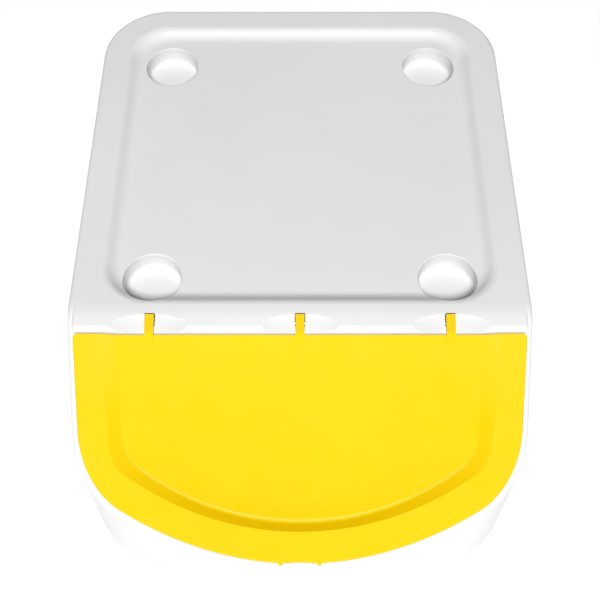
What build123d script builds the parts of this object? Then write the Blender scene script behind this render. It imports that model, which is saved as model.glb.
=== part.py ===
from build123d import *
import os
from math import atan, cos, degrees, radians, sin, tan

# Stackable flap-lid waste bin. Millimetres, +Z up, front towards -Y.
# The origin is on the floor, under the middle of the bin's bounding box.
# "Run" is measured forward from the back edge of the roof, "drop" is measured down from the roof.

# ---- overall sizes ----
TOP_WIDTH = 300            # roof, across the flat sides
ROOF_DEPTH = 289.8         # back edge to the nose above the lid
LID_RUN = 117.2            # plan depth from the nose to the front wall
HEIGHT = 380
HOOD_HEIGHT = 180          # the upper moulding, from the seam to the roof
HOOD_DRAFT = 1             # degrees, the hood widens downwards
TUB_DRAFT = 5              # degrees, the tub narrows downwards
WALL = 2.5
BOW_RADIUS = 279           # bowed front, in plan
BACK_CORNER = 48
FRONT_CORNER = 49
TOP_EDGE_RADIUS = 3

# ---- stacking tray and foot sockets in the roof ----
TRAY_MARGIN = 20.5         # outer edge to the tray, at the sides and back
TRAY_NOSE_MARGIN = 19.7    # nose to the tray
TRAY_DEPTH = 5
TRAY_WALL_RUN = 7
TRAY_CORNER = 30
TRAY_TOP_RADIUS = 7
TRAY_FLOOR_RADIUS = 10
SOCKET_RADIUS = 19.4
SOCKET_DEPTH = 14
SOCKET_FLOOR_RADIUS = 3
SOCKET_LIP_RADIUS = 0.8
SOCKET_SIDE = 52.2         # outer side of the roof to a socket centre
SOCKET_BACK = 56.6         # back edge of the roof to the rear socket centres
SOCKET_NOSE = 39.9         # nose to the front socket centres

# ---- sloped mouth frame and the nose above the lid ----
SLOPE = 44                 # degrees, mouth frame and lid
FRAME_DROP = 9.3           # mouth frame below the roof, at the nose
FRAME_ROLL = 22            # the roof rolls into the frame beside the nose
FRAME_WIDTH = 12.5         # flange that the lid rests over
MOUTH_BACK_CORNER = 6
NOSE_SLOPE = 14            # degrees
NOSE_BEND = 12.8           # nose face back to where the nose starts to fall
NOSE_ROLL = 37
NOSE_EDGE_RADIUS = 4
NOSE_SIDE = 3.4            # outer side of the roof to the end of the nose
NOSE_END_RADIUS = 2
NOSE_UNDERSIDE = 12.5      # bottom of the nose face below the roof
NOSE_ROOT = 16.8           # solid length of the nose behind its bend

# ---- lid ----
LID_SIDE_STRIP = 3.7       # frame left visible beside the lid
LID_FRONT_STRIP = 1.2      # front of the roof outline to the front of the lid
LID_GAP = 0.9              # nose to lid
LID_RISE = 2.5             # rim surface above the frame, square to it
LID_THICKNESS = 2.2
LID_BOW = 275
LID_BACK_CORNER = 3
LID_FRONT_CORNER = 45
LID_EDGE_RADIUS = 1.2
PANEL_STEP_BACK = 1.2      # panel below the rim, at the hinge
PANEL_STEP_FRONT = 8.5     # panel below the rim, at the front
RIM_WIDTH_BACK = 15.8      # lid side to the inner edge of the rim, at the hinge
RIM_WIDTH_FRONT = 23.3     # the same at the front
RIM_FRONT = 22.7           # rim at the middle of the front, along the slope
RIM_INNER_BOW = 187
RIM_INNER_CORNER = 27
PANEL_SIDE = 28.3          # lid side to the flat of the panel
PANEL_FRONT = 26.8         # lid front to the flat of the panel, along the slope
PANEL_BOW = 165
PANEL_CORNER = 34
PANEL_STEP_RADIUS = 3
NIB_RADIUS = 1.6
NIB_SPACING = 26.6
NIB_PROUD = 1.1
NOTCH_DEPTH = 0.7

# ---- hinge ----
HINGE_SPACING = 97         # centre tongue to each side tongue
PIN_BACK = 7.8             # pin axis behind the nose face
PIN_DROP = 8.5             # pin axis below the roof
PIN_RADIUS = 1.25
PIN_LENGTH = 19
PIN_END_CHAMFER = 0.3
PIN_HOLE_CLEARANCE = 0.02  # in the hood's ears
PIN_RUNNING_CLEARANCE = 0.07
TONGUE_WIDTH = 5.8
TONGUE_THICKNESS = 2.2
TONGUE_TOP = 6.65          # top of the tongue above the pin axis, at its back end
TONGUE_BACK = 3            # back end of the tongue behind the pin axis
TONGUE_KNEE = 8.5          # bend of the tongue ahead of the pin axis
TONGUE_ROOT = 6            # length of the tongue on the lid, ahead of its bend
BARREL_RADIUS = 2.8
LANE_CLEARANCE = 0.5       # tongue to the sides of its lane, barrel to its front
LANE_SWING = 0.5           # swing of the tongue to the back of its lane
LANE_ROOF = 1.6            # roof left over the back of the lane
NOTCH_BACK = 3.6           # notch for the tongue behind the pin axis
EAR_WIDTH = 20
EAR_LENGTH = 17.3
PIN_ENTRY = 20             # groove past one end of an ear, to lay the pin in and push it home
POCKET_BACK = 10.8         # apex of the pocket behind the nose face
POCKET_ARC = 60
POCKET_WIDTH = 49
POCKET_FLOOR = 4.75        # pocket below the roof at its apex
POCKET_SLOPE = 17.4        # degrees
POCKET_DISH = 74
POCKET_LIP = 1.45          # underside of the lip below the roof at the apex
POCKET_LIP_SLOPE = 8       # degrees
POCKET_UNDERCUT = 3

# ---- seal, seam and bag ring ----
SEAL_WIDTH = 4
SEAL_INSET = 3             # lid edge to the seal
SEAL_BACK = 4              # back edge of the lid to the ends of the seal
SEAL_GROOVE = 0.8
SEAL_CLEARANCE = 0.2       # seal to frame with the lid shut
SPIGOT_HEIGHT = 12
SPIGOT_THICKNESS = 2
SPIGOT_CLEARANCE = 0.3
SEAM_LEDGE = 8             # height of the ledge under the spigot
SEAM_CHAMFER = 0.6
RING_THICKNESS = 1.5
RING_SKIRT = 11
RING_CLEARANCE = 0.8

# ---- base and feet ----
BASE_RADIUS = 25
BASE_FRONT = 22.8          # nose to the front edge of the base, in plan
BASE_BOW = 600
BASE_BACK_CORNER = 42
BASE_FRONT_CORNER = 40
FOOT_RADIUS = 18
FOOT_RISE = 24             # top of a foot's boss, inside the tub wall
FOOT_SOCKET_GAP = 0.5      # foot shorter than the socket it stacks into
PAD_THICKNESS = 2
PAD_INSET = 0.5            # pad edge inside the foot's edge
PAD_PLUG_RADIUS = 12
PAD_PLUG_LENGTH = 6
PAD_PLUG_CLEARANCE = 0.3

# ---- limits for picking edges and faces ----
NEAR = 0.01                # distance within which a face or an edge counts as being on a plane
ALONG_X = 0.999            # share of X in the direction of an edge that runs across the bin

# ---- worked out ----
TOP_DEPTH = ROOF_DEPTH + LID_RUN
BACK_Y = TOP_DEPTH / 2
NOSE_Y = BACK_Y - ROOF_DEPTH
FRONT_Y = BACK_Y - TOP_DEPTH
SEAM_Z = HEIGHT - HOOD_HEIGHT
SEAM_GROW = HOOD_HEIGHT * tan(radians(HOOD_DRAFT))
BASE_Z = SOCKET_DEPTH - FOOT_SOCKET_GAP
BEYOND = 40                # how far cutting shapes reach past the bin
SLOPE_COS = cos(radians(SLOPE))
LID_WIDTH = TOP_WIDTH - 2 * LID_SIDE_STRIP
LID_BACK_Y = NOSE_Y - LID_GAP
LID_FRONT_Y = FRONT_Y + LID_FRONT_STRIP
LID_LENGTH = (LID_BACK_Y - LID_FRONT_Y) / SLOPE_COS
PIN_Y = NOSE_Y + PIN_BACK
PIN_Z = HEIGHT - PIN_DROP
TONGUE_XS = (-HINGE_SPACING, 0, HINGE_SPACING)
LANE_WIDTH = TONGUE_WIDTH + 2 * LANE_CLEARANCE
SWING_RADIUS = (TONGUE_BACK ** 2 + TONGUE_TOP ** 2) ** 0.5
SOCKET_X = TOP_WIDTH / 2 - SOCKET_SIDE
SOCKET_Z = HEIGHT - TRAY_DEPTH - SOCKET_DEPTH
SOCKET_YS = (NOSE_Y + SOCKET_NOSE, BACK_Y - SOCKET_BACK)
SOCKETS = [(x, y) for y in SOCKET_YS for x in (-SOCKET_X, SOCKET_X)]
FOOT_NAMES = ("front_left", "front_right", "rear_left", "rear_right")


def frame_z(y, rise=0):
    """Height of the sloped frame at y, or of the plane that lies rise above it."""
    fall = (NOSE_Y - y) * tan(radians(SLOPE))
    return HEIGHT - FRAME_DROP - fall + rise / SLOPE_COS


def d_outline(plane, widths, back, front, bow, corners):
    """D shape on a plane: widths and corner radii are given at the back, then at the front."""
    with BuildSketch(plane) as outline:
        with BuildLine():
            Polyline(
                (-widths[0] / 2, back),
                (-widths[1] / 2, front - WALL),
                (widths[1] / 2, front - WALL),
                (widths[0] / 2, back),
                close=True,
            )
        make_face()
        with Locations((0, front + bow)):
            Circle(bow, mode=Mode.INTERSECT)
        fillet(outline.vertices().sort_by(Axis.Y)[:2], corners[1])
        if corners[0]:
            fillet(outline.vertices().sort_by(Axis.Y)[-2:], corners[0])
    return outline.sketch


def bin_outline(z, grow):
    """Plan outline of the bin at a height, grown outwards (or drawn in, below 0)."""
    width = TOP_WIDTH + 2 * grow
    corners = (BACK_CORNER + grow, FRONT_CORNER + grow)
    plane = Plane.XY.offset(z)
    return d_outline(plane, (width, width), BACK_Y + grow, FRONT_Y - grow, BOW_RADIUS + grow, corners)


def tub_outline(z, inset):
    """Plan outline of the tub between its base and the seam, drawn in by inset."""
    share = (z - BASE_Z) / (SEAM_Z - BASE_Z)
    side = SEAM_GROW - (SEAM_Z - z) * tan(radians(TUB_DRAFT)) - inset
    width = TOP_WIDTH + 2 * side
    front = (NOSE_Y + BASE_FRONT) * (1 - share) + (FRONT_Y - SEAM_GROW) * share
    bow = BASE_BOW * (1 - share) + (BOW_RADIUS + SEAM_GROW) * share
    back_corner = BASE_BACK_CORNER * (1 - share) + (BACK_CORNER + SEAM_GROW) * share
    front_corner = BASE_FRONT_CORNER * (1 - share) + (FRONT_CORNER + SEAM_GROW) * share
    corners = (back_corner - inset, front_corner - inset)
    plane = Plane.XY.offset(z)
    return d_outline(plane, (width, width), BACK_Y + side, front + inset, bow - inset, corners)


def lid_outline(z, inset, back=0):
    """Plan outline of the lid, drawn in by inset and carried on past its rear edge by back."""
    width = LID_WIDTH - 2 * inset
    corners = (LID_BACK_CORNER, LID_FRONT_CORNER - inset)
    plane = Plane.XY.offset(z)
    return d_outline(
        plane, (width, width), LID_BACK_Y + back, LID_FRONT_Y + inset, LID_BOW - inset, corners
    )


def above_frame(shift):
    """Side view of all that lies above the roof and the frame, both moved in by shift."""
    roof = HEIGHT - shift
    bend_y = NOSE_Y + (FRAME_DROP + shift / SLOPE_COS - shift) / tan(radians(SLOPE))
    low_y = FRONT_Y - BEYOND
    low_z = roof - (bend_y - low_y) * tan(radians(SLOPE))
    with BuildSketch(Plane.YZ) as profile:
        with BuildLine():
            FilletPolyline(
                (BACK_Y + BEYOND, roof),
                (bend_y, roof),
                (low_y, low_z),
                radius=FRAME_ROLL - shift,
            )
            Polyline(
                (low_y, low_z),
                (low_y, HEIGHT + BEYOND),
                (BACK_Y + BEYOND, HEIGHT + BEYOND),
                (BACK_Y + BEYOND, roof),
            )
        make_face()
    return profile.sketch


def frame_slab(low, high):
    """Side view of the layer between two planes that lie low and high above the frame."""
    ends = (LID_BACK_Y + BEYOND, FRONT_Y - BEYOND)
    with BuildSketch(Plane.YZ) as profile:
        with BuildLine():
            Polyline(
                (ends[0], frame_z(ends[0], low)),
                (ends[0], frame_z(ends[0], high)),
                (ends[1], frame_z(ends[1], high)),
                (ends[1], frame_z(ends[1], low)),
                close=True,
            )
        make_face()
    return profile.sketch


def tray_section(z, inset):
    """Plan section of the stacking tray, drawn in from its top edge."""
    width = TOP_WIDTH - 2 * TRAY_MARGIN - 2 * inset
    length = ROOF_DEPTH - TRAY_MARGIN - TRAY_NOSE_MARGIN - 2 * inset
    with BuildSketch(Plane.XY.offset(z)) as section:
        with Locations((0, (BACK_Y - TRAY_MARGIN + NOSE_Y + TRAY_NOSE_MARGIN) / 2)):
            RectangleRounded(width, length, TRAY_CORNER - inset)
    return section.sketch


# ---- tray: the space it takes, and the pan that carries its floor ----
with BuildPart() as tray_space:
    tray_top = tray_section(HEIGHT, 0)
    tray_floor = tray_section(HEIGHT - TRAY_DEPTH, TRAY_WALL_RUN)
    loft([tray_top.face(), tray_floor.face()], ruled=True)
    fillet(tray_space.faces().sort_by(Axis.Z)[0].edges(), TRAY_FLOOR_RADIUS)

with BuildPart() as tray_pan:
    pan_top = tray_section(HEIGHT - WALL, -WALL)
    pan_floor = tray_section(HEIGHT - TRAY_DEPTH - WALL, TRAY_WALL_RUN - WALL)
    loft([pan_top.face(), pan_floor.face()], ruled=True)
    with Locations(*[(x, y, SOCKET_Z - WALL) for x, y in SOCKETS]):
        Cylinder(
            SOCKET_RADIUS + WALL,
            SOCKET_DEPTH + WALL,
            align=(Align.CENTER, Align.CENTER, Align.MIN),
        )

# ---- nose: a bar across the back of the mouth that carries the three hinges ----
with BuildPart() as nose:
    nose_back = (NOSE_Y + NOSE_BEND + NOSE_ROOT, HEIGHT)
    nose_bottom = (NOSE_Y, HEIGHT - NOSE_UNDERSIDE)
    with BuildSketch(Plane.YZ):
        with BuildLine():
            nose_top = FilletPolyline(
                nose_back,
                (NOSE_Y + NOSE_BEND, HEIGHT),
                (NOSE_Y, HEIGHT - NOSE_BEND * tan(radians(NOSE_SLOPE))),
                nose_bottom,
                radius=(NOSE_ROLL, NOSE_EDGE_RADIUS),
            )
            Polyline(
                nose_bottom,
                (NOSE_Y + NOSE_ROOT, HEIGHT - 2 * WALL),
                (NOSE_Y + NOSE_BEND + NOSE_ROOT, HEIGHT - 2 * WALL),
                nose_back,
            )
        make_face()
    extrude(amount=TOP_WIDTH / 2 - NOSE_SIDE, both=True)
    end_edges = nose.edges().group_by(Axis.X)[0] + nose.edges().group_by(Axis.X)[-1]
    nose_ends = [edge for edge in end_edges if edge.center().Z > HEIGHT - NOSE_UNDERSIDE / 2]
    fillet([edge for edge in nose_ends if edge.center().Y < NOSE_Y + NOSE_BEND + WALL], NOSE_END_RADIUS)

with BuildPart() as ear:
    with Locations((0, NOSE_Y, HEIGHT - NOSE_UNDERSIDE)):
        Box(
            EAR_WIDTH,
            EAR_LENGTH,
            NOSE_UNDERSIDE - WALL,
            align=(Align.CENTER, Align.MIN, Align.MIN),
        )

# ---- pockets and lanes: the spaces that the hinge tongues lie and swing in ----
with BuildPart() as pocket_lip:
    with BuildSketch(Plane.YZ):
        with BuildLine():
            lip_y = NOSE_Y + POCKET_BACK
            lip_fall = BEYOND * tan(radians(POCKET_LIP_SLOPE))
            Polyline(
                (lip_y + BEYOND, HEIGHT - POCKET_LIP + lip_fall),
                (lip_y - BEYOND, HEIGHT - POCKET_LIP - lip_fall),
                (lip_y - BEYOND, HEIGHT + BEYOND),
                (lip_y + BEYOND, HEIGHT + BEYOND),
                close=True,
            )
        make_face()
    extrude(amount=POCKET_WIDTH, both=True)
    with Locations((0, NOSE_Y + POCKET_BACK - POCKET_ARC, HEIGHT)):
        Cylinder(POCKET_ARC, 4 * BEYOND, mode=Mode.SUBTRACT)

with BuildPart() as pocket:
    floor_plane = Plane(
        origin=(0, NOSE_Y + POCKET_BACK, HEIGHT - POCKET_FLOOR),
        x_dir=(1, 0, 0),
        z_dir=(0, -cos(radians(POCKET_SLOPE)), -sin(radians(POCKET_SLOPE))),
    )
    with BuildSketch(floor_plane):
        with Locations((0, POCKET_DISH)):
            Circle(POCKET_DISH)
        with Locations((0, POCKET_DISH / 2)):
            Rectangle(POCKET_WIDTH, POCKET_DISH, mode=Mode.INTERSECT)
    extrude(amount=BEYOND, both=True)
    with Locations((0, NOSE_Y + POCKET_BACK - POCKET_ARC, HEIGHT)):
        Cylinder(POCKET_ARC + POCKET_UNDERCUT, 4 * BEYOND, mode=Mode.INTERSECT)
    add(pocket_lip.part, mode=Mode.SUBTRACT)

with BuildPart() as lane:
    lane_back = PIN_Y + SWING_RADIUS + LANE_SWING
    lane_front = PIN_Y - BARREL_RADIUS - LANE_CLEARANCE
    with BuildSketch(Plane.YZ):
        with BuildLine():
            Polyline(
                (lane_back, HEIGHT - NOSE_UNDERSIDE - WALL),
                (lane_back, HEIGHT - LANE_ROOF),
                (PIN_Y + NOTCH_BACK, HEIGHT - LANE_ROOF),
                (PIN_Y + NOTCH_BACK, HEIGHT + WALL),
                (lane_front, HEIGHT + WALL),
                (lane_front, HEIGHT - NOSE_UNDERSIDE - WALL),
                close=True,
            )
        make_face()
    extrude(amount=LANE_WIDTH / 2, both=True)

# ---- hood ----
with BuildPart() as hood_core:
    extrude(bin_outline(SEAM_Z, SEAM_GROW - WALL), amount=HOOD_HEIGHT - WALL, taper=HOOD_DRAFT)
    extrude(above_frame(WALL), amount=TOP_WIDTH, both=True, mode=Mode.SUBTRACT)
    add(tray_pan.part, mode=Mode.SUBTRACT)
    add(nose.part, mode=Mode.SUBTRACT)
    for x in TONGUE_XS:
        add(Pos(x, 0, 0) * ear.part, mode=Mode.SUBTRACT)

with BuildPart() as hood:
    extrude(bin_outline(SEAM_Z, SEAM_GROW), amount=HOOD_HEIGHT, taper=HOOD_DRAFT)
    chamfer(hood.faces().sort_by(Axis.Z)[0].edges(), SEAM_CHAMFER)
    extrude(above_frame(0), amount=TOP_WIDTH, both=True, mode=Mode.SUBTRACT)
    top_faces = hood.faces().filter_by(lambda face: face.normal_at().Z > SLOPE_COS / 2)
    rim_edges = [
        edge
        for edge in top_faces.edges()
        if abs(edge.tangent_at(0.5).X) < ALONG_X or edge.center().Y > BACK_Y - WALL
        or edge.center().Y < FRONT_Y + WALL
    ]
    fillet(rim_edges, TOP_EDGE_RADIUS)
    add(nose.part)
    add(hood_core.part, mode=Mode.SUBTRACT)
    add(tray_space.part, mode=Mode.SUBTRACT)
    tray_edges = hood.edges().filter_by_position(Axis.Z, HEIGHT - NEAR, HEIGHT + NEAR)
    tray_edges = tray_edges.filter_by_position(
        Axis.Y, NOSE_Y + TRAY_NOSE_MARGIN - NEAR, BACK_Y - TRAY_MARGIN + NEAR
    )
    tray_side = TOP_WIDTH / 2 - TRAY_MARGIN + NEAR
    fillet(tray_edges.filter_by_position(Axis.X, -tray_side, tray_side), TRAY_TOP_RADIUS)
    with Locations(*[(x, y, SOCKET_Z) for x, y in SOCKETS]):
        Cylinder(
            SOCKET_RADIUS,
            HEIGHT - SOCKET_Z,
            align=(Align.CENTER, Align.CENTER, Align.MIN),
            mode=Mode.SUBTRACT,
        )
    socket_floors = hood.faces().filter_by(Plane.XY).filter_by_position(
        Axis.Z, SOCKET_Z - NEAR, SOCKET_Z + NEAR
    )
    fillet(socket_floors.edges(), SOCKET_FLOOR_RADIUS)
    lip_edges = [
        edge
        for face in hood.faces().filter_by(GeomType.CYLINDER)
        if abs(face.radius - SOCKET_RADIUS) < NEAR
        for edge in face.edges()
        if edge.center().Z > HEIGHT - TRAY_DEPTH - NEAR and edge.geom_type != GeomType.LINE
    ]
    fillet(lip_edges, SOCKET_LIP_RADIUS)
    mouth_width = TOP_WIDTH - 2 * FRAME_WIDTH
    mouth = d_outline(
        Plane.XY.offset(SEAM_Z),
        (mouth_width, mouth_width),
        NOSE_Y,
        FRONT_Y + FRAME_WIDTH,
        BOW_RADIUS - FRAME_WIDTH,
        (MOUTH_BACK_CORNER, FRONT_CORNER - FRAME_WIDTH),
    )
    extrude(mouth, amount=HOOD_HEIGHT, mode=Mode.SUBTRACT)
    for x in TONGUE_XS:
        add(Pos(x, 0, 0) * pocket.part, mode=Mode.SUBTRACT)
        add(Pos(x, 0, 0) * lane.part, mode=Mode.SUBTRACT)
        with Locations(Location((x - PIN_LENGTH / 2, PIN_Y, PIN_Z), (0, 90, 0))):
            Cylinder(
                PIN_RADIUS + PIN_HOLE_CLEARANCE,
                PIN_LENGTH / 2 + EAR_WIDTH / 2 + PIN_ENTRY,
                align=(Align.CENTER, Align.CENTER, Align.MIN),
                mode=Mode.SUBTRACT,
            )

# ---- tub ----
SPIGOT_OUTER = SEAM_GROW - WALL - SPIGOT_CLEARANCE
SPIGOT_INNER = SPIGOT_OUTER - SPIGOT_THICKNESS

with BuildPart() as tub_space:
    space_bottom = tub_outline(BASE_Z + WALL, WALL)
    space_top = tub_outline(SEAM_Z - SEAM_LEDGE, WALL)
    loft([space_bottom.face(), space_top.face()], ruled=True)
    fillet(tub_space.faces().sort_by(Axis.Z)[0].edges(), BASE_RADIUS - WALL)
    loft([space_top.face(), bin_outline(SEAM_Z, SPIGOT_INNER).face()], ruled=True)
    extrude(bin_outline(SEAM_Z, SPIGOT_INNER), amount=SPIGOT_HEIGHT, taper=HOOD_DRAFT)

with BuildPart() as tub:
    tub_top = tub_outline(SEAM_Z - SEAM_CHAMFER, 0)
    loft([tub_outline(BASE_Z, 0).face(), tub_top.face()], ruled=True)
    fillet(tub.faces().sort_by(Axis.Z)[0].edges(), BASE_RADIUS)
    loft([tub_top.face(), tub_outline(SEAM_Z, SEAM_CHAMFER).face()], ruled=True)
    extrude(bin_outline(SEAM_Z, SPIGOT_OUTER), amount=SPIGOT_HEIGHT, taper=HOOD_DRAFT)
    with Locations(*[(x, y, PAD_THICKNESS) for x, y in SOCKETS]):
        Cylinder(
            FOOT_RADIUS,
            FOOT_RISE - PAD_THICKNESS,
            align=(Align.CENTER, Align.CENTER, Align.MIN),
        )
    add(tub_space.part, mode=Mode.SUBTRACT)
    with Locations(*[(x, y, PAD_THICKNESS) for x, y in SOCKETS]):
        Cylinder(
            PAD_PLUG_RADIUS + PAD_PLUG_CLEARANCE,
            PAD_PLUG_LENGTH + PAD_PLUG_CLEARANCE,
            align=(Align.CENTER, Align.CENTER, Align.MIN),
            mode=Mode.SUBTRACT,
        )

with BuildPart() as foot_pad:
    Cylinder(FOOT_RADIUS - PAD_INSET, PAD_THICKNESS, align=(Align.CENTER, Align.CENTER, Align.MIN))
    Cylinder(
        PAD_PLUG_RADIUS,
        PAD_THICKNESS + PAD_PLUG_LENGTH,
        align=(Align.CENTER, Align.CENTER, Align.MIN),
    )

with BuildPart() as bag_ring:
    ring_z = SEAM_Z + SPIGOT_HEIGHT
    ring_draft = SPIGOT_HEIGHT * tan(radians(HOOD_DRAFT))
    skirt_outer = SPIGOT_INNER - ring_draft - RING_CLEARANCE
    with BuildSketch(Plane.XY.offset(ring_z)):
        add(bin_outline(ring_z, SPIGOT_OUTER - ring_draft))
        add(bin_outline(ring_z, skirt_outer - RING_THICKNESS), mode=Mode.SUBTRACT)
    extrude(amount=RING_THICKNESS)
    with BuildSketch(Plane.XY.offset(ring_z - RING_SKIRT)):
        add(bin_outline(0, skirt_outer))
        add(bin_outline(0, skirt_outer - RING_THICKNESS), mode=Mode.SUBTRACT)
    extrude(amount=RING_SKIRT)

# ---- lid ----
PANEL_TILT = degrees(atan((PANEL_STEP_FRONT - PANEL_STEP_BACK) / (LID_LENGTH - PANEL_FRONT)))


def lid_plane(rise, tilt):
    """Plane along the lid from its back edge, a rise above the frame and tilted further down."""
    angle = radians(SLOPE + tilt)
    origin = (0, LID_BACK_Y, frame_z(LID_BACK_Y, rise))
    return Plane(origin=origin, x_dir=(1, 0, 0), z_dir=(0, -sin(angle), cos(angle)))


def rim_inner(grow):
    """Inner edge of the lid's rim on the rim surface, or grown and lowered by the same amount."""
    widths = (
        LID_WIDTH - 2 * RIM_WIDTH_BACK + 2 * grow,
        LID_WIDTH - 2 * RIM_WIDTH_FRONT + 2 * grow,
    )
    plane = lid_plane(LID_RISE - grow, 0)
    front = RIM_FRONT - LID_LENGTH - grow
    return d_outline(plane, widths, BEYOND / 4, front, RIM_INNER_BOW + grow, (0, RIM_INNER_CORNER + grow))


def panel(grow):
    """Flat of the lid's sunk panel, or grown and lowered by the same amount."""
    width = LID_WIDTH - 2 * PANEL_SIDE + 2 * grow
    plane = lid_plane(LID_RISE - PANEL_STEP_BACK - grow, PANEL_TILT)
    front = PANEL_FRONT - LID_LENGTH - grow
    return d_outline(plane, (width, width), BEYOND / 4, front, PANEL_BOW + grow, (0, PANEL_CORNER + grow))


NIB_XS = (-NIB_SPACING / 2, NIB_SPACING / 2)
SLOPE_AXIS = Axis((0, 0, 0), (0, -sin(radians(SLOPE)), SLOPE_COS))

with BuildPart() as lid_prism:
    extrude(lid_outline(0, 0), amount=HEIGHT)

with BuildPart() as lid_recess:
    loft([rim_inner(0).face(), panel(0).face()], ruled=True)
    panel_edges = lid_recess.edges().sort_by(SLOPE_AXIS)[: len(panel(0).edges())]
    fillet([edge for edge in panel_edges if edge.center().Y < LID_BACK_Y], PANEL_STEP_RADIUS)
    extrude(rim_inner(0), amount=BEYOND / 4)

with BuildPart() as seal_path:
    with BuildSketch(Plane.XY.offset(SEAM_Z)):
        add(lid_outline(SEAM_Z, SEAL_INSET))
        add(lid_outline(SEAM_Z, SEAL_INSET + SEAL_WIDTH), mode=Mode.SUBTRACT)
        with Locations((0, LID_BACK_Y - SEAL_BACK)):
            Rectangle(
                LID_WIDTH,
                2 * SEAL_BACK,
                align=(Align.CENTER, Align.MIN),
                mode=Mode.SUBTRACT,
            )
    extrude(amount=HOOD_HEIGHT)

with BuildPart() as seal_groove:
    add(seal_path.part)
    groove_top = LID_RISE - LID_THICKNESS + SEAL_GROOVE
    extrude(frame_slab(-LID_RISE, groove_top), amount=TOP_WIDTH, both=True, mode=Mode.INTERSECT)

with BuildPart() as below_nibs:
    extrude(frame_slab(-TOP_WIDTH, LID_RISE - LID_THICKNESS), amount=TOP_WIDTH, both=True)
    with Locations((0, LID_FRONT_Y + NIB_RADIUS, SEAM_Z)):
        Box(2 * NIB_SPACING, 4 * NIB_RADIUS, 2 * HOOD_HEIGHT, mode=Mode.INTERSECT)

with BuildPart() as lid_seal:
    add(seal_path.part)
    extrude(frame_slab(SEAL_CLEARANCE, groove_top), amount=TOP_WIDTH, both=True, mode=Mode.INTERSECT)

with BuildPart() as tongue:
    with BuildSketch(Plane.YZ) as tongue_side:
        with BuildLine():
            knee_top = TONGUE_TOP - (TONGUE_BACK + TONGUE_KNEE) * tan(radians(POCKET_SLOPE))
            drop = TONGUE_THICKNESS / cos(radians(POCKET_SLOPE))
            panel_top = frame_z(LID_BACK_Y, LID_RISE - PANEL_STEP_BACK) - PIN_Z
            root = PIN_BACK + LID_GAP + TONGUE_ROOT
            root_top = panel_top - TONGUE_ROOT * tan(radians(SLOPE + PANEL_TILT))
            Polyline(
                (PIN_Y + TONGUE_BACK, PIN_Z + TONGUE_TOP),
                (PIN_Y + BARREL_RADIUS, PIN_Z),
                (PIN_Y - BARREL_RADIUS, PIN_Z),
                (PIN_Y - BARREL_RADIUS, PIN_Z + knee_top - drop
                 + (TONGUE_KNEE - BARREL_RADIUS) * tan(radians(POCKET_SLOPE))),
                (PIN_Y - TONGUE_KNEE + LANE_CLEARANCE, PIN_Z + knee_top - drop),
                (PIN_Y - root + TONGUE_THICKNESS, PIN_Z + root_top),
                (PIN_Y - root, PIN_Z + root_top - TONGUE_THICKNESS / 2),
                (PIN_Y - TONGUE_KNEE, PIN_Z + knee_top),
                close=True,
            )
        make_face()
        with Locations((PIN_Y, PIN_Z)):
            Circle(BARREL_RADIUS)
    extrude(amount=TONGUE_WIDTH / 2, both=True)

with BuildPart() as front_lid:
    extrude(frame_slab(LID_RISE - LID_THICKNESS, LID_RISE), amount=TOP_WIDTH, both=True)
    extrude(lid_outline(SEAM_Z, 0, PIN_BACK), amount=HEIGHT, mode=Mode.INTERSECT)
    rim_face = front_lid.faces().filter_by(GeomType.PLANE).sort_by(SLOPE_AXIS)[-1]
    rim_edges = [edge for edge in rim_face.edges() if edge.center().Y < LID_BACK_Y - NEAR]
    fillet(rim_edges, LID_EDGE_RADIUS)
    notch_chord = NIB_SPACING / 2 - NIB_RADIUS / 2
    notch_arc = (notch_chord ** 2 + NOTCH_DEPTH ** 2) / (2 * NOTCH_DEPTH)
    with Locations((0, LID_FRONT_Y + NOTCH_DEPTH - notch_arc, SEAM_Z)):
        Cylinder(notch_arc, 2 * HOOD_HEIGHT, mode=Mode.SUBTRACT)
    loft([rim_inner(LID_THICKNESS).face(), panel(LID_THICKNESS).face()], ruled=True)
    add(lid_prism.part, mode=Mode.INTERSECT)
    add(lid_recess.part, mode=Mode.SUBTRACT)
    with Locations(*[(x, LID_FRONT_Y + NIB_RADIUS - NIB_PROUD, SEAM_Z) for x in NIB_XS]):
        Cylinder(NIB_RADIUS, HOOD_HEIGHT, align=(Align.CENTER, Align.CENTER, Align.MIN))
    extrude(frame_slab(-TOP_WIDTH, LID_RISE), amount=TOP_WIDTH, both=True, mode=Mode.INTERSECT)
    add(below_nibs.part, mode=Mode.SUBTRACT)
    add(seal_groove.part, mode=Mode.SUBTRACT)
    for x in TONGUE_XS:
        add(Pos(x, 0, 0) * tongue.part)
    with Locations(Location((0, PIN_Y, PIN_Z), (0, 90, 0))):
        Cylinder(PIN_RADIUS + PIN_RUNNING_CLEARANCE, TOP_WIDTH, mode=Mode.SUBTRACT)

# ---- hinge pin ----
with BuildPart() as hinge_pin:
    with Locations(Location((0, PIN_Y, PIN_Z), (0, 90, 0))):
        Cylinder(PIN_RADIUS, PIN_LENGTH)
    chamfer(hinge_pin.edges().filter_by(GeomType.CIRCLE), PIN_END_CHAMFER)

# ---- export ----
pieces = {
    "hood": hood.part,
    "tub": tub.part,
    "bag_ring": bag_ring.part,
    "front_lid": front_lid.part,
    "lid_seal": lid_seal.part,
}
for side, x in zip(("left", "centre", "right"), TONGUE_XS):
    pieces["hinge_pin_" + side] = Pos(x, 0, 0) * hinge_pin.part
for place, (x, y) in zip(FOOT_NAMES, SOCKETS):
    pieces["foot_pad_" + place] = Pos(x, y, 0) * foot_pad.part

os.makedirs("parts", exist_ok=True)
for name, piece in pieces.items():
    piece.label = name
    export_step(piece, "parts/" + name + ".step")
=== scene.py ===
"""Looks of a stackable flap-lid waste bin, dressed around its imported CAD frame."""

import logging
import math
from dataclasses import dataclass, field
from enum import Enum

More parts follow.
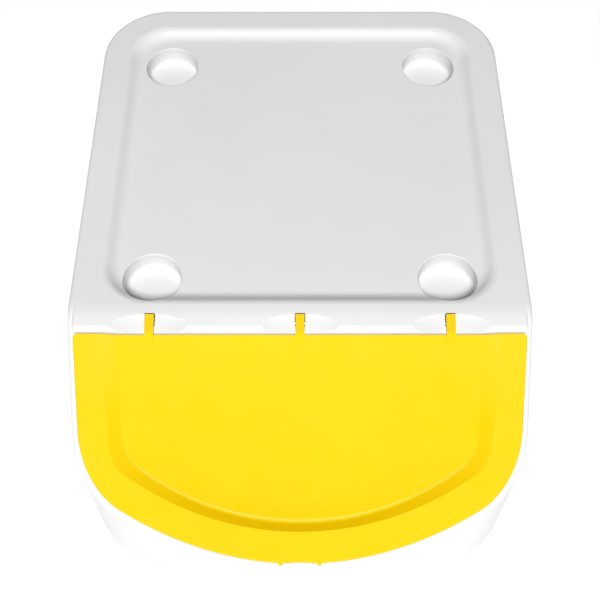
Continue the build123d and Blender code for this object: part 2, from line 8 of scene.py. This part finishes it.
import bpy
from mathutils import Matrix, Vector


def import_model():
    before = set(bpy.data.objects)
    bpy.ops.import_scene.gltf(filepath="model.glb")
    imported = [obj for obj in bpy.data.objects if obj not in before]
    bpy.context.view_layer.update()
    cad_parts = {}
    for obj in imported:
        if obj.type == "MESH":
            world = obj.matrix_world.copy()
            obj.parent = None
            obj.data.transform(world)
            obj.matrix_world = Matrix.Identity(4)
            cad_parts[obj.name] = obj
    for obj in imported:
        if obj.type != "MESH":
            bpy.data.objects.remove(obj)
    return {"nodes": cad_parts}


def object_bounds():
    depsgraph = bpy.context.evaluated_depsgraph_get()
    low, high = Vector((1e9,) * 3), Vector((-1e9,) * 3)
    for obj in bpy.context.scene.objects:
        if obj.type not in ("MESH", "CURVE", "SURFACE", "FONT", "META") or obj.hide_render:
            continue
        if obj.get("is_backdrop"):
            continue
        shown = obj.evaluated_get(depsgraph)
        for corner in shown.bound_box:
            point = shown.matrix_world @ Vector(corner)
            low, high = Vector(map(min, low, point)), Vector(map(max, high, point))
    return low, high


LOG = logging.getLogger("flap_bin")
WHITE = (1.0, 1.0, 1.0, 1.0)


class Slot(Enum):
    """Material slots of the record that pieces take their finish from."""

    SHELL = "white_shell"
    RING = "grey_plastic"
    LID = "yellow_lid"
    SEAL = "seal_rubber"
    PIN = "pin_steel"
    PAD = "pad_rubber"


class Links:
    """Small helper that adds nodes to one node tree and joins them."""

    columns = 8
    column_width = 200
    row_height = 260

    def __init__(self, tree: bpy.types.NodeTree) -> None:
        """Keep the tree that nodes are added to."""
        self.tree = tree
        self.count = 0

    def add(self, kind: str, **settings: object) -> bpy.types.Node:
        """Add a node.

        Args:
            kind: Blender's type name of the node.
            settings: attributes to set on it.

        Returns:
            The new node.
        """
        node = self.tree.nodes.new(kind)
        row, column = divmod(self.count, self.columns)
        node.location = (self.column_width * column, -self.row_height * row)
        self.count += 1
        for name, value in settings.items():
            setattr(node, name, value)
        return node

    def join(self, source: bpy.types.NodeSocket, target: bpy.types.NodeSocket) -> None:
        """Join an output socket to an input socket."""
        self.tree.links.new(source, target)

    def noise(self, vector: bpy.types.NodeSocket, scale: float, detail: float) -> bpy.types.Node:
        """Add a noise texture.

        Args:
            vector: coordinates it reads.
            scale: repeats per metre.
            detail: octaves.

        Returns:
            The noise node.
        """
        node = self.add("ShaderNodeTexNoise")
        node.inputs["Scale"].default_value = scale
        node.inputs["Detail"].default_value = detail
        self.join(vector, node.inputs["Vector"])
        return node

    def spread(
        self,
        value: bpy.types.NodeSocket,
        low: float,
        high: float,
        to_low: float = 0.0,
        to_high: float = 1.0,
    ) -> bpy.types.NodeSocket:
        """Map a value from one range onto another, held at the ends.

        Args:
            value: the value to map.
            low: input that gives to_low.
            high: input that gives to_high.
            to_low: output at low.
            to_high: output at high.

        Returns:
            The mapped value's socket.
        """
        node = self.add("ShaderNodeMapRange", clamp=True)
        for index, bound in enumerate((low, high, to_low, to_high), start=1):
            node.inputs[index].default_value = bound
        self.join(value, node.inputs[0])
        return node.outputs[0]

    def maths(self, operation: str, *values: object) -> bpy.types.NodeSocket:
        """Work out a sum, product or other operation.

        Args:
            operation: Blender's name of the operation.
            values: sockets or plain numbers.

        Returns:
            The result's socket.
        """
        node = self.add("ShaderNodeMath", operation=operation)
        for index, value in enumerate(values):
            if isinstance(value, bpy.types.NodeSocket):
                self.join(value, node.inputs[index])
            else:
                node.inputs[index].default_value = float(value)
        return node.outputs[0]

    def blend(
        self,
        share: object,
        first: object,
        second: object,
    ) -> bpy.types.NodeSocket:
        """Blend two colours.

        Args:
            share: how much of the second, a socket or a number.
            first: socket or RGB triple.
            second: socket or RGB triple.

        Returns:
            The blended colour's socket.
        """
        node = self.add("ShaderNodeMix", data_type="RGBA", blend_type="MIX")
        fitted = ((node.inputs[0], share), (node.inputs[6], first), (node.inputs[7], second))
        for socket, value in fitted:
            if isinstance(value, bpy.types.NodeSocket):
                self.join(value, socket)
            elif isinstance(value, (int, float)):
                socket.default_value = value
            else:
                socket.default_value = (*value, 1.0)
        return node.outputs[2]


def make_group(
    name: str,
    outputs: tuple[str, ...],
) -> tuple[bpy.types.NodeTree, Links, bpy.types.Node]:
    """Start a shader node group that gives plain values.

    Args:
        name: the group's name.
        outputs: names of the values it gives.

    Returns:
        The tree, its link helper and its output node.
    """
    tree = bpy.data.node_groups.new(name, "ShaderNodeTree")
    for label in outputs:
        tree.interface.new_socket(name=label, in_out="OUTPUT", socket_type="NodeSocketFloat")
    links = Links(tree)
    return tree, links, links.add("NodeGroupOutput")


def start_material(
    name: str,
    colour: tuple[float, float, float],
) -> tuple[bpy.types.Material, Links, bpy.types.Node]:
    """Start a material whose tree holds a Principled shader and its output.

    Args:
        name: the material's name.
        colour: linear RGB it has in a plain viewport.

    Returns:
        The material, its link helper and its shader.
    """
    material = bpy.data.materials.new(name)
    material.use_nodes = True
    material.diffuse_color = (*colour, 1.0)
    tree = material.node_tree
    tree.nodes.clear()
    links = Links(tree)
    shader = links.add("ShaderNodeBsdfPrincipled")
    out = links.add("ShaderNodeOutputMaterial")
    links.join(shader.outputs[0], out.inputs["Surface"])
    return material, links, shader


@dataclass(frozen=True)
class MouldedGrain:
    """Fine moulded grain, with its gloss mottle and its slow tone drift.

    Each noise is a pair: its repeats per metre and its octaves.

    Args:
        fine: fine noise in the height.
        coarse: coarse noise in the height.
        mottle: noise of the gloss.
        drift: noise of the tone.
        pores: pores per metre.
        pore_wall: distances from a pore's middle at which its wall starts and ends.
        fine_share: share of the fine noise in the height.
        pore_share: share of the pores in the height.
        coarse_share: share of the coarse noise in the height.
        contrast: noise values that count as none and as full, for mottle and drift.
    """

    fine: tuple[float, float] = (2600.0, 3.0)
    coarse: tuple[float, float] = (900.0, 2.0)
    mottle: tuple[float, float] = (60.0, 4.0)
    drift: tuple[float, float] = (7.0, 2.0)
    pores: float = 1500.0
    pore_wall: tuple[float, float] = (0.05, 0.75)
    fine_share: float = 0.45
    pore_share: float = 0.35
    coarse_share: float = 0.3
    contrast: tuple[float, float] = (0.3, 0.7)

    def build(self) -> bpy.types.NodeTree:
        """Build the node group.

        Returns:
            The group, which gives Height, Mottle and Drift.
        """
        tree, links, out = make_group("moulded_grain", ("Height", "Mottle", "Drift"))
        place = links.add("ShaderNodeTexCoord").outputs["Object"]
        fine = links.noise(place, *self.fine).outputs["Fac"]
        coarse = links.noise(place, *self.coarse).outputs["Fac"]
        pores = links.add("ShaderNodeTexVoronoi", feature="F1")
        pores.inputs["Scale"].default_value = self.pores
        links.join(place, pores.inputs["Vector"])
        cells = links.spread(pores.outputs["Distance"], *self.pore_wall)
        height = links.maths("MULTIPLY", cells, self.pore_share)
        height = links.maths("MULTIPLY_ADD", fine, self.fine_share, height)
        height = links.maths("MULTIPLY_ADD", coarse, self.coarse_share, height)
        links.join(height, out.inputs["Height"])
        for label, sizes in (("Mottle", self.mottle), ("Drift", self.drift)):
            noise = links.noise(place, *sizes)
            links.join(links.spread(noise.outputs["Fac"], *self.contrast), out.inputs[label])
        return tree


@dataclass(frozen=True)
class RubMarks:
    """Faint rub marks: short fine scratches that come and go over the surface.

    Args:
        runs: turn of each set of marks in radians, and its repeats per metre along the marks.
        across: repeats per metre across the marks.
        tilt: lean of the marks about X, in radians.
        lean: lean about Y, as a share of the turn.
        thin: noise values between which a mark fades in.
        patches: repeats per metre and octaves of the patches that hold the marks.
        patch_edge: noise values between which a patch fades in.
    """

    runs: tuple[tuple[float, float], ...] = ((0.5, 9.0), (-0.9, 14.0))
    across: float = 620.0
    tilt: float = 0.35
    lean: float = 0.5
    thin: tuple[float, float] = (0.70, 0.78)
    patches: tuple[float, float] = (14.0, 2.0)
    patch_edge: tuple[float, float] = (0.52, 0.68)

    def marks(
        self,
        links: Links,
        place: bpy.types.NodeSocket,
        turn: float,
        along: float,
    ) -> bpy.types.NodeSocket:
        """Add one set of marks.

        Args:
            links: helper of the group's tree.
            place: coordinates the marks lie in.
            turn: turn of the marks, in radians.
            along: repeats per metre along the marks.

        Returns:
            The set's mask.
        """
        turned = links.add("ShaderNodeMapping")
        turned.inputs["Rotation"].default_value = (self.tilt, turn * self.lean, turn)
        turned.inputs["Scale"].default_value = (along, self.across, along)
        links.join(place, turned.inputs["Vector"])
        lines = links.noise(turned.outputs["Vector"], 1.0, 1.0)
        return links.spread(lines.outputs["Fac"], *self.thin)

    def build(self) -> bpy.types.NodeTree:
        """Build the node group.

        Returns:
            The group, which gives Mask.
        """
        tree, links, out = make_group("rub_marks", ("Mask",))
        place = links.add("ShaderNodeTexCoord").outputs["Object"]
        sets = [self.marks(links, place, turn, along) for turn, along in self.runs]
        patches = links.noise(place, *self.patches)
        share = links.spread(patches.outputs["Fac"], *self.patch_edge)
        mask = links.maths("MULTIPLY", links.maths("MAXIMUM", *sets), share)
        links.join(mask, out.inputs["Mask"])
        return tree


@dataclass(frozen=True)
class SettledDust:
    """Settled dust: more on faces that look up, broken by soft noise.

    Args:
        upward: share of Z in the normal at which dust starts and is full.
        cloud: repeats per metre and octaves of the soft noise.
        cloud_edge: noise values between which the dust fades in.
        specks: repeats per metre and octaves of the specks.
        speck_edge: noise values between which a speck fades in.
        speck_share: strength of a speck.
    """

    upward: tuple[float, float] = (0.6, 1.0)
    cloud: tuple[float, float] = (22.0, 5.0)
    cloud_edge: tuple[float, float] = (0.45, 0.75)
    specks: tuple[float, float] = (700.0, 1.0)
    speck_edge: tuple[float, float] = (0.66, 0.74)
    speck_share: float = 0.5

    def build(self) -> bpy.types.NodeTree:
        """Build the node group.

        Returns:
            The group, which gives Mask.
        """
        tree, links, out = make_group("settled_dust", ("Mask",))
        place = links.add("ShaderNodeTexCoord").outputs["Object"]
        facing = links.add("ShaderNodeNewGeometry").outputs["Normal"]
        parts = links.add("ShaderNodeSeparateXYZ")
        links.join(facing, parts.inputs[0])
        upward = links.spread(parts.outputs["Z"], *self.upward)
        cloud = links.noise(place, *self.cloud)
        specks = links.noise(place, *self.specks)
        soft = links.spread(cloud.outputs["Fac"], *self.cloud_edge)
        points = links.spread(specks.outputs["Fac"], *self.speck_edge)
        amount = links.maths("MULTIPLY_ADD", points, self.speck_share, soft)
        links.join(links.maths("MULTIPLY", amount, upward), out.inputs["Mask"])
        return tree


@dataclass(frozen=True)
class Plastic:
    """A moulded plastic or rubber finish.

    Args:
        name: the material's name.
        colour: linear RGB of the clean surface.
        drift_colour: linear RGB that the slow drift leans to.
        worn_colour: linear RGB of rub marks.
        dust_colour: linear RGB of dust.
        roughness: base roughness.
        mottle: how far the gloss mottle changes the roughness.
        grain: bump height of the moulded grain, in metres.
        rub: strength of the rub marks.
        rub_roughness: roughness that a full rub mark adds.
        rub_depth: depth of a full rub mark, as a share of the grain's height.
        dust: strength of the dust.
        dust_roughness: roughness that full dust adds.
        specular: strength of the mirror reflection.
        ior: index of refraction.
    """

    name: str
    colour: tuple[float, float, float]
    drift_colour: tuple[float, float, float]
    worn_colour: tuple[float, float, float]
    dust_colour: tuple[float, float, float] = (0.55, 0.53, 0.5)
    roughness: float = 0.4
    mottle: float = 0.06
    grain: float = 0.00002
    rub: float = 0.2
    rub_roughness: float = 0.25
    rub_depth: float = 0.6
    dust: float = 0.05
    dust_roughness: float = 0.5
    specular: float = 0.3
    ior: float = 1.49

    def build(self, groups: dict[str, bpy.types.NodeTree]) -> bpy.types.Material:
        """Make the material.

        Args:
            groups: the shared node groups by name.

        Returns:
            The finished material.
        """
        material, links, shader = start_material(self.name, self.colour)
        grain = links.add("ShaderNodeGroup", node_tree=groups["grain"])
        rubbed = links.add("ShaderNodeGroup", node_tree=groups["rub"])
        dusty = links.add("ShaderNodeGroup", node_tree=groups["dust"])
        rub = links.maths("MULTIPLY", rubbed.outputs["Mask"], self.rub)
        dust = links.maths("MULTIPLY", dusty.outputs["Mask"], self.dust)
        tone = links.blend(grain.outputs["Drift"], self.colour, self.drift_colour)
        tone = links.blend(rub, tone, self.worn_colour)
        tone = links.blend(dust, tone, self.dust_colour)
        links.join(tone, shader.inputs["Base Color"])
        low, high = self.roughness - self.mottle, self.roughness + self.mottle
        gloss = links.spread(grain.outputs["Mottle"], 0.0, 1.0, low, high)
        gloss = links.maths("MULTIPLY_ADD", rub, self.rub_roughness, gloss)
        gloss = links.maths("MULTIPLY_ADD", dust, self.dust_roughness, gloss)
        links.join(gloss, shader.inputs["Roughness"])
        bump = links.add("ShaderNodeBump")
        bump.inputs["Strength"].default_value = 1.0
        bump.inputs["Distance"].default_value = self.grain
        height = links.maths("MULTIPLY_ADD", rub, -self.rub_depth, grain.outputs["Height"])
        links.join(height, bump.inputs["Height"])
        links.join(bump.outputs["Normal"], shader.inputs["Normal"])
        shader.inputs["IOR"].default_value = self.ior
        shader.inputs["Specular IOR Level"].default_value = self.specular
        return material


@dataclass(frozen=True)
class DrawnWire:
    """Steel wire of the hinge pins, with fine marks along its length.

    Args:
        name: the material's name.
        colour: linear RGB of the steel.
        dulled: how bright the slow drift leaves the steel, as a share.
        smoothest: roughness between the marks.
        roughest: roughness on the marks.
        along: repeats of the marks per metre along the wire.
        across: repeats of the marks per metre across the wire.
        octaves: octaves of the marks.
        contrast: noise values that count as no mark and as a full mark.
        depth: depth of the marks, in metres.
    """

    name: str
    colour: tuple[float, float, float] = (0.56, 0.57, 0.58)
    dulled: float = 0.8
    smoothest: float = 0.22
    roughest: float = 0.42
    along: float = 60.0
    across: float = 4000.0
    octaves: float = 2.0
    contrast: tuple[float, float] = (0.3, 0.7)
    depth: float = 0.00001

    def build(self, groups: dict[str, bpy.types.NodeTree]) -> bpy.types.Material:
        """Make the material.

        Args:
            groups: the shared node groups by name.

        Returns:
            The finished material.
        """
        material, links, shader = start_material(self.name, self.colour)
        shader.inputs["Metallic"].default_value = 1.0
        grain = links.add("ShaderNodeGroup", node_tree=groups["grain"])
        place = links.add("ShaderNodeTexCoord").outputs["Object"]
        stretched = links.add("ShaderNodeMapping")
        stretched.inputs["Scale"].default_value = (self.along, self.across, self.across)
        links.join(place, stretched.inputs["Vector"])
        lines = links.noise(stretched.outputs["Vector"], 1.0, self.octaves).outputs["Fac"]
        dull_colour = tuple(self.dulled * part for part in self.colour)
        tone = links.blend(grain.outputs["Drift"], self.colour, dull_colour)
        links.join(tone, shader.inputs["Base Color"])
        gloss = links.spread(lines, *self.contrast, self.smoothest, self.roughest)
        links.join(gloss, shader.inputs["Roughness"])
        bump = links.add("ShaderNodeBump")
        bump.inputs["Distance"].default_value = self.depth
        links.join(lines, bump.inputs["Height"])
        links.join(bump.outputs["Normal"], shader.inputs["Normal"])
        return material


@dataclass
class Finishes:
    """All finishes of the bin, built once.

    Args:
        made: the finished materials by slot.
    """

    made: dict[Slot, bpy.types.Material] = field(default_factory=dict)

    def build(self) -> "Finishes":
        """Build the shared groups and every material.

        Returns:
            This object, with its materials made.
        """
        groups = {
            "grain": MouldedGrain().build(),
            "rub": RubMarks().build(),
            "dust": SettledDust().build(),
        }
        white = Plastic(
            "white_polypropylene",
            colour=(0.76, 0.76, 0.76),
            drift_colour=(0.74, 0.742, 0.745),
            worn_colour=(0.64, 0.64, 0.64),
            roughness=0.42,
            rub=0.25,
            dust=0.06,
        )
        yellow = Plastic(
            "yellow_polypropylene",
            colour=(0.80, 0.56, 0.0),
            drift_colour=(0.79, 0.54, 0.0),
            worn_colour=(0.72, 0.48, 0.01),
            roughness=0.42,
            rub=0.2,
            dust=0.0,
            specular=0.2,
        )
        grey = Plastic(
            "grey_polypropylene",
            colour=(0.17, 0.18, 0.19),
            drift_colour=(0.15, 0.16, 0.17),
            worn_colour=(0.26, 0.27, 0.28),
            roughness=0.45,
        )
        foam = Plastic(
            "seal_foam",
            colour=(0.018, 0.018, 0.019),
            drift_colour=(0.014, 0.014, 0.015),
            worn_colour=(0.05, 0.05, 0.05),
            roughness=0.85,
            grain=0.00015,
        )
        rubber = Plastic(
            "pad_rubber",
            colour=(0.025, 0.025, 0.027),
            drift_colour=(0.02, 0.02, 0.021),
            worn_colour=(0.08, 0.08, 0.08),
            roughness=0.75,
            grain=0.00006,
            rub=0.5,
            dust=0.2,
        )
        self.made = {
            Slot.SHELL: white.build(groups),
            Slot.LID: yellow.build(groups),
            Slot.RING: grey.build(groups),
            Slot.SEAL: foam.build(groups),
            Slot.PAD: rubber.build(groups),
            Slot.PIN: DrawnWire("drawn_wire").build(groups),
        }
        return self

    def dress(self, piece: bpy.types.Object, slot: Slot) -> None:
        """Give a piece its finish.

        Args:
            piece: the object to dress.
            slot: the finish it takes.
        """
        piece.data.materials.clear()
        piece.data.materials.append(self.made[slot])
        LOG.info("dressed %s in %s", piece.name, slot.value)


@dataclass
class Shell:
    """The two white mouldings, the bag ring between them and the foot pads.

    Args:
        mouldings: nodes of the white mouldings.
        ring: node of the bag ring.
        pad_places: where the foot pads are, as their nodes' names say.
    """

    mouldings: tuple[str, ...] = ("hood", "tub")
    ring: str = "bag_ring"
    pad_places: tuple[str, ...] = ("front_left", "front_right", "rear_left", "rear_right")

    def dress(self, nodes: dict[str, bpy.types.Object], finishes: Finishes) -> None:
        """Dress the shell's nodes.

        Args:
            nodes: CAD objects by node name.
            finishes: the finishes to use.
        """
        for name in self.mouldings:
            finishes.dress(nodes[name], Slot.SHELL)
        finishes.dress(nodes[self.ring], Slot.RING)
        for place in self.pad_places:
            finishes.dress(nodes["foot_pad_" + place], Slot.PAD)


@dataclass
class Flap:
    """The yellow flap, its seal and its three hinge pins.

    Args:
        lid: node of the flap.
        seal: node of the seal.
        pin_sides: where the hinge pins are, as their nodes' names say.
    """

    lid: str = "front_lid"
    seal: str = "lid_seal"
    pin_sides: tuple[str, ...] = ("left", "centre", "right")

    def dress(self, nodes: dict[str, bpy.types.Object], finishes: Finishes) -> None:
        """Dress the flap's nodes.

        Args:
            nodes: CAD objects by node name.
            finishes: the finishes to use.
        """
        finishes.dress(nodes[self.lid], Slot.LID)
        finishes.dress(nodes[self.seal], Slot.SEAL)
        for side in self.pin_sides:
            finishes.dress(nodes["hinge_pin_" + side], Slot.PIN)


@dataclass
class Studio:
    """Pale floor, soft light and the camera.

    Args:
        floor_half: half the floor's width, in metres.
        floor_colour: linear RGB of the floor.
        floor_roughness: roughness of the floor.
        floor_glow: light that the floor gives off, so that it reads as plain white.
        world_strength: strength of the even light.
        key_power: power of the key light, in watts.
        key_elevation: height of the key light above the horizon, in degrees.
        key_distance: distance of the key light from the bin's middle.
        key_size: side of the key light.
        lens: focal length, in millimetres.
        sensor: sensor width, in millimetres.
        sight: distance that the camera sees, in metres.
        pitch: how far the camera looks down, in degrees.
        camera_back: distance of the camera in front of the bin's back edge.
        camera_rise: height of the camera above the bin's top.
    """

    floor_half: float = 6.0
    floor_colour: tuple[float, float, float] = (0.93, 0.93, 0.93)
    floor_roughness: float = 0.9
    floor_glow: float = 0.32
    world_strength: float = 0.1
    key_power: float = 174.0
    key_elevation: float = 54.0
    key_distance: float = 4.0
    key_size: float = 1.0
    lens: float = 58.1
    sensor: float = 36.0
    sight: float = 50.0
    pitch: float = 58.4
    camera_back: float = 0.6007
    camera_rise: float = 0.5333

    def build(self, low: Vector, high: Vector) -> None:
        """Set up floor, light and camera around the bin.

        Args:
            low: lowest corner of the bin's box.
            high: highest corner of the bin's box.
        """
        self.floor(low.z)
        self.light(low, high)
        self.camera(high)

    def floor(self, level: float) -> None:
        """Lay the floor.

        Args:
            level: height that the bin stands on.
        """
        half = self.floor_half
        mesh = bpy.data.meshes.new("floor")
        signs = ((-1, -1), (1, -1), (1, 1), (-1, 1))
        corners = [(half * along, half * across, level) for along, across in signs]
        mesh.from_pydata(corners, [], [(0, 1, 2, 3)])
        floor = bpy.data.objects.new("floor", mesh)
        bpy.context.scene.collection.objects.link(floor)
        material = bpy.data.materials.new("pale_floor")
        material.use_nodes = True
        shader = material.node_tree.nodes["Principled BSDF"]
        shader.inputs["Base Color"].default_value = (*self.floor_colour, 1.0)
        shader.inputs["Roughness"].default_value = self.floor_roughness
        shader.inputs["Emission Color"].default_value = WHITE
        shader.inputs["Emission Strength"].default_value = self.floor_glow
        mesh.materials.append(material)
        floor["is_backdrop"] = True

    def light(self, low: Vector, high: Vector) -> None:
        """Hang the key light in front and fill the room with even light.

        Args:
            low: lowest corner of the bin's box.
            high: highest corner of the bin's box.
        """
        world = bpy.data.worlds.new("studio")
        bpy.context.scene.world = world
        world.use_nodes = True
        background = world.node_tree.nodes["Background"]
        background.inputs["Color"].default_value = WHITE
        background.inputs["Strength"].default_value = self.world_strength
        aim = (low + high) / 2
        angle = math.radians(self.key_elevation)
        away = Vector((0.0, -math.cos(angle), math.sin(angle)))
        data = bpy.data.lights.new("key", "AREA")
        data.shape = "RECTANGLE"
        data.size = self.key_size
        data.size_y = self.key_size
        data.energy = self.key_power
        key = bpy.data.objects.new("key", data)
        key.location = aim + away * self.key_distance
        key.rotation_euler = (-away).to_track_quat("-Z", "Y").to_euler()
        bpy.context.scene.collection.objects.link(key)

    def camera(self, high: Vector) -> None:
        """Place the camera above and in front of the bin.

        Args:
            high: highest corner of the bin's box.
        """
        data = bpy.data.cameras.new("view")
        data.lens = self.lens
        data.sensor_width = self.sensor
        data.clip_end = self.sight
        camera = bpy.data.objects.new("view", data)
        camera.location = (0.0, high.y - self.camera_back, high.z + self.camera_rise)
        camera.rotation_euler = (math.radians(90.0 - self.pitch), 0.0, 0.0)
        bpy.context.scene.collection.objects.link(camera)
        bpy.context.scene.camera = camera


def main() -> None:
    """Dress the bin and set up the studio."""
    logging.basicConfig(level=logging.INFO, format="%(name)s: %(message)s")
    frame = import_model()
    cad_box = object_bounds()
    nodes = frame["nodes"]
    finishes = Finishes().build()
    Shell().dress(nodes, finishes)
    Flap().dress(nodes, finishes)
    Studio().build(*cad_box)
    scene = bpy.context.scene
    scene.view_settings.view_transform = "Standard"
    scene.view_settings.look = "None"


if __name__ == "__main__":
    main()
